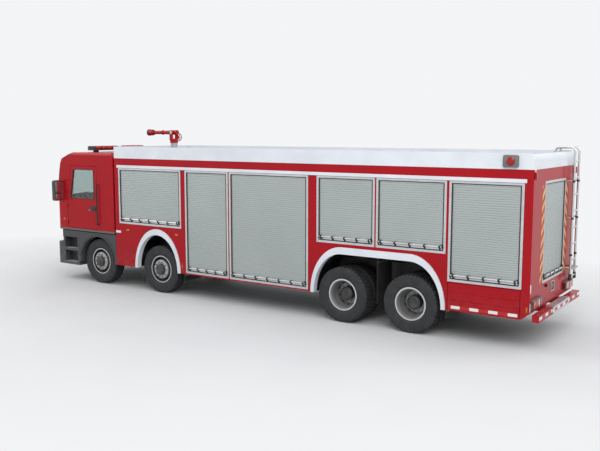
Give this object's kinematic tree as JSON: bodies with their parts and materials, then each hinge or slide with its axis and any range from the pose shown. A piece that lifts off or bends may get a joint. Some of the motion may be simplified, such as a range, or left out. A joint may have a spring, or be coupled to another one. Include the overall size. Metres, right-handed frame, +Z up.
{
  "type": "water tanker fire truck",
  "caption": "Red and white four-axle water tanker fire truck with roller shutter lockers, roof monitor and rear ladder.",
  "frame": {"origin": "on the ground under the middle of the truck's box", "axes": "+X forward, +Y to the truck's left, +Z up"},
  "size_m": [11.9, 3.03, 3.632],
  "materials": {
    "body_red": "gloss red paint",
    "body_white": "gloss white paint",
    "chassis_black": "satin black paint",
    "shutter_alloy": "anodised, satin",
    "frame_alloy": "brushed",
    "tread_alloy": "tread plate",
    "cast_grey": "painted casting",
    "rim_grey": "satin grey wheel paint",
    "tyre_rubber": "matte tyre rubber",
    "flap_rubber": "matte rubber",
    "trim_plastic": "grained dark grey plastic",
    "cab_trim": "grained grey plastic",
    "clear_glass": "clear, slightly green",
    "lamp_lens": "lamp lens",
    "seat_fabric": "woven seat cloth",
    "shield_steel": "heat resistant paint",
    "monitor_paint": "gloss red paint on aluminium"
  },
  "bodies": {
    "chassis": {"chassis_frame": "chassis_black", "leaf_springs": "chassis_black", "steer_axles": "cast_grey", "drive_axles": "cast_grey", "engine_block": "cast_grey", "air_tanks": "chassis_black", "heat_shield": "shield_steel", "mudguards": "trim_plastic", "mudflaps": "flap_rubber", "front_bumper": "trim_plastic", "body_shell": "body_red", "wheel_arches": "body_white", "body_fascia": "body_white", "roof_deck": "tread_alloy", "rear_bumper": "body_red", "lamps": "lamp_lens", "ladder": "frame_alloy", "shutters": "shutter_alloy", "shutter_frames": "frame_alloy", "tail_fittings": "frame_alloy"},
    "cab": {"cab_floor": "cab_trim", "cab_front": "body_red", "cab_sides": "body_red", "cab_roof": "body_red", "cab_back": "body_red", "windscreen": "clear_glass", "grille": "trim_plastic", "cab_seats": "seat_fabric", "dashboard": "cab_trim", "mirrors": "trim_plastic", "light_bar": "lamp_lens"},
    "cab_door_left": {"door_left": "body_red", "door_glass_left": "clear_glass"},
    "cab_door_right": {"door_right": "body_red", "door_glass_right": "clear_glass"},
    "hatch": {"hatch_lid": "tread_alloy"},
    "turret": {"monitor_turret": "monitor_paint"},
    "barrel": {"monitor_barrel": "monitor_paint"},
    "step_left": {"fold_step_left": "body_red"},
    "step_right": {"fold_step_right": "body_red"},
    "hub_carrier_1_left": {"knuckle_1_left": "cast_grey"},
    "wheel_1_left": {"tyre_1_left": "tyre_rubber", "rim_1_left": "rim_grey"},
    "hub_carrier_1_right": {"knuckle_1_right": "cast_grey"},
    "wheel_1_right": {"tyre_1_right": "tyre_rubber", "rim_1_right": "rim_grey"},
    "hub_carrier_2_left": {"knuckle_2_left": "cast_grey"},
    "wheel_2_left": {"tyre_2_left": "tyre_rubber", "rim_2_left": "rim_grey"},
    "hub_carrier_2_right": {"knuckle_2_right": "cast_grey"},
    "wheel_2_right": {"tyre_2_right": "tyre_rubber", "rim_2_right": "rim_grey"},
    "wheels_3_left": {"tyres_3_left": "tyre_rubber", "rims_3_left": "rim_grey"},
    "wheels_3_right": {"tyres_3_right": "tyre_rubber", "rims_3_right": "rim_grey"},
    "wheels_4_left": {"tyres_4_left": "tyre_rubber", "rims_4_left": "rim_grey"},
    "wheels_4_right": {"tyres_4_right": "tyre_rubber", "rims_4_right": "rim_grey"}
  },
  "joints": [
    {"name": "steer_1_left", "type": "hinge", "parent": "chassis", "child": "hub_carrier_1_left", "pos_m": [4.47, 0.85, 0.53], "axis": [0, 0, 1], "range_deg": [-38, 38]},
    {"name": "roll_1_left", "type": "hinge", "parent": "hub_carrier_1_left", "child": "wheel_1_left", "pos_m": [4.47, 1.02, 0.53], "axis": [0, 1, 0], "continuous": true},
    {"name": "steer_1_right", "type": "hinge", "parent": "chassis", "child": "hub_carrier_1_right", "pos_m": [4.47, -0.85, 0.53], "axis": [0, 0, 1], "range_deg": [-38, 38]},
    {"name": "roll_1_right", "type": "hinge", "parent": "hub_carrier_1_right", "child": "wheel_1_right", "pos_m": [4.47, -1.02, 0.53], "axis": [0, 1, 0], "continuous": true},
    {"name": "steer_2_left", "type": "hinge", "parent": "chassis", "child": "hub_carrier_2_left", "pos_m": [2.52, 0.85, 0.53], "axis": [0, 0, 1], "range_deg": [-25.08, 25.08]},
    {"name": "roll_2_left", "type": "hinge", "parent": "hub_carrier_2_left", "child": "wheel_2_left", "pos_m": [2.52, 1.02, 0.53], "axis": [0, 1, 0], "continuous": true},
    {"name": "steer_2_right", "type": "hinge", "parent": "chassis", "child": "hub_carrier_2_right", "pos_m": [2.52, -0.85, 0.53], "axis": [0, 0, 1], "range_deg": [-25.08, 25.08]},
    {"name": "roll_2_right", "type": "hinge", "parent": "hub_carrier_2_right", "child": "wheel_2_right", "pos_m": [2.52, -1.02, 0.53], "axis": [0, 1, 0], "continuous": true},
    {"name": "roll_3_left", "type": "hinge", "parent": "chassis", "child": "wheels_3_left", "pos_m": [-2.23, 0.915, 0.53], "axis": [0, 1, 0], "continuous": true},
    {"name": "roll_3_right", "type": "hinge", "parent": "chassis", "child": "wheels_3_right", "pos_m": [-2.23, -0.915, 0.53], "axis": [0, 1, 0], "continuous": true},
    {"name": "roll_4_left", "type": "hinge", "parent": "chassis", "child": "wheels_4_left", "pos_m": [-3.63, 0.915, 0.53], "axis": [0, 1, 0], "continuous": true},
    {"name": "roll_4_right", "type": "hinge", "parent": "chassis", "child": "wheels_4_right", "pos_m": [-3.63, -0.915, 0.53], "axis": [0, 1, 0], "continuous": true},
    {"name": "cab_tilt", "type": "hinge", "parent": "chassis", "child": "cab", "pos_m": [5.8, 0, 0.985], "axis": [0, 1, 0], "range_deg": [0, 50]},
    {"name": "open_door_left", "type": "hinge", "parent": "cab", "child": "cab_door_left", "pos_m": [5.4835, 1.257, 1.7], "axis": [0, 0, -1], "range_deg": [0, 75]},
    {"name": "open_door_right", "type": "hinge", "parent": "cab", "child": "cab_door_right", "pos_m": [5.4835, -1.257, 1.7], "axis": [0, 0, 1], "range_deg": [0, 75]},
    {"name": "open_hatch", "type": "hinge", "parent": "chassis", "child": "hatch", "pos_m": [-1.33, 0, 3.111], "axis": [0, -1, 0], "range_deg": [0, 100]},
    {"name": "turn_monitor", "type": "hinge", "parent": "chassis", "child": "turret", "pos_m": [3.13, 0, 3.32], "axis": [0, 0, 1], "continuous": true},
    {"name": "raise_monitor", "type": "hinge", "parent": "turret", "child": "barrel", "pos_m": [3.13, 0, 3.56], "axis": [0, -1, 0], "range_deg": [-15, 70]},
    {"name": "fold_step_left_down", "type": "hinge", "parent": "chassis", "child": "step_left", "pos_m": [-4.9825, 1.233, 0.537], "axis": [-1, 0, 0], "range_deg": [0, 90]},
    {"name": "fold_step_right_down", "type": "hinge", "parent": "chassis", "child": "step_right", "pos_m": [-4.9825, -1.233, 0.537], "axis": [1, 0, 0], "range_deg": [0, 90]}
  ],
  "couplings": [
    {"joint": "steer_1_right", "follows": "steer_1_left", "ratio": 1},
    {"joint": "steer_2_left", "follows": "steer_1_left", "ratio": 0.66},
    {"joint": "steer_2_right", "follows": "steer_1_left", "ratio": 0.66}
  ]
}
